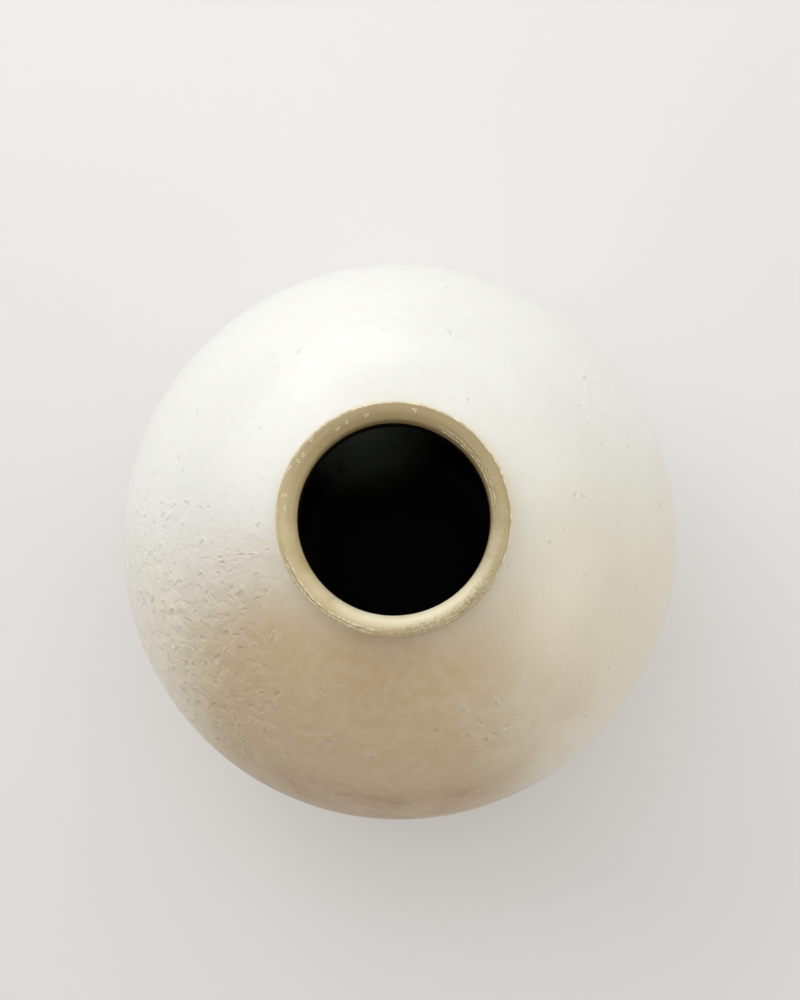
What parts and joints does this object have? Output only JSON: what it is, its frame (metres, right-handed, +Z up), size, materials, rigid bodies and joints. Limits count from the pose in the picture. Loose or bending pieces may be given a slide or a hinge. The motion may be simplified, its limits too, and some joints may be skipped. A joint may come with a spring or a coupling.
{
  "type": "moon jar",
  "caption": "Round white glazed moon jar, luted from two thrown bowls, with a foot ring, a short collar and a rolled tan lip.",
  "frame": {"origin": "middle of the foot ring's standing face", "axes": "+Z up along the jar's axis, out of the mouth; X and Y lie in the standing face"},
  "size_m": [0.3, 0.3, 0.288],
  "materials": {
    "white_glaze": "satin",
    "lip_glaze": "satin",
    "inner_glaze": "satin",
    "bare_clay": "matte"
  },
  "bodies": {
    "root": {"foot_ring": "bare_clay", "foot_slip": "white_glaze", "lower_bowl": "white_glaze", "belly_slip": "white_glaze", "belly_coil": "inner_glaze", "upper_bowl": "white_glaze", "neck_slip": "white_glaze", "neck_collar": "white_glaze", "lip_slip": "lip_glaze", "mouth_lip": "lip_glaze"}
  },
  "joints": []
}
